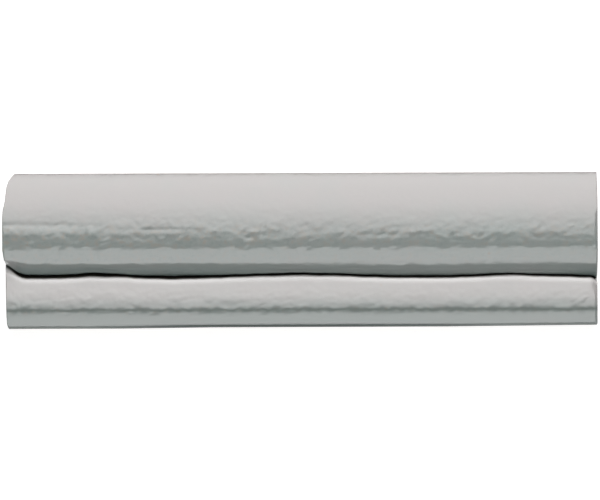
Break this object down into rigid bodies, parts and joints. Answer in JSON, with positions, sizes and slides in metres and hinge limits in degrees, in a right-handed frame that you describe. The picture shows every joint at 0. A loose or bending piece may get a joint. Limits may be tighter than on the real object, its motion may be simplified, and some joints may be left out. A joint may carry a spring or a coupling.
{
  "type": "ceramic tile moulding",
  "caption": "Straight glazed ceramic trim rail with a large rounded roll above a smaller bead, a narrow cleft between them and a flat keyed back for tile adhesive.",
  "frame": {"origin": "middle of the flat back, on the plane of the wall or of the floor it lies on", "axes": "+X along the rail, to the right as it is seen on the wall; +Y towards the edge that points up on the wall; +Z out of the wall, the projection"},
  "size_m": [0.2, 0.052, 0.021],
  "materials": {
    "glaze": "light grey gloss glaze, slightly uneven, thinner at the edges"
  },
  "bodies": {
    "root": {"moulding": "glaze"}
  },
  "joints": []
}
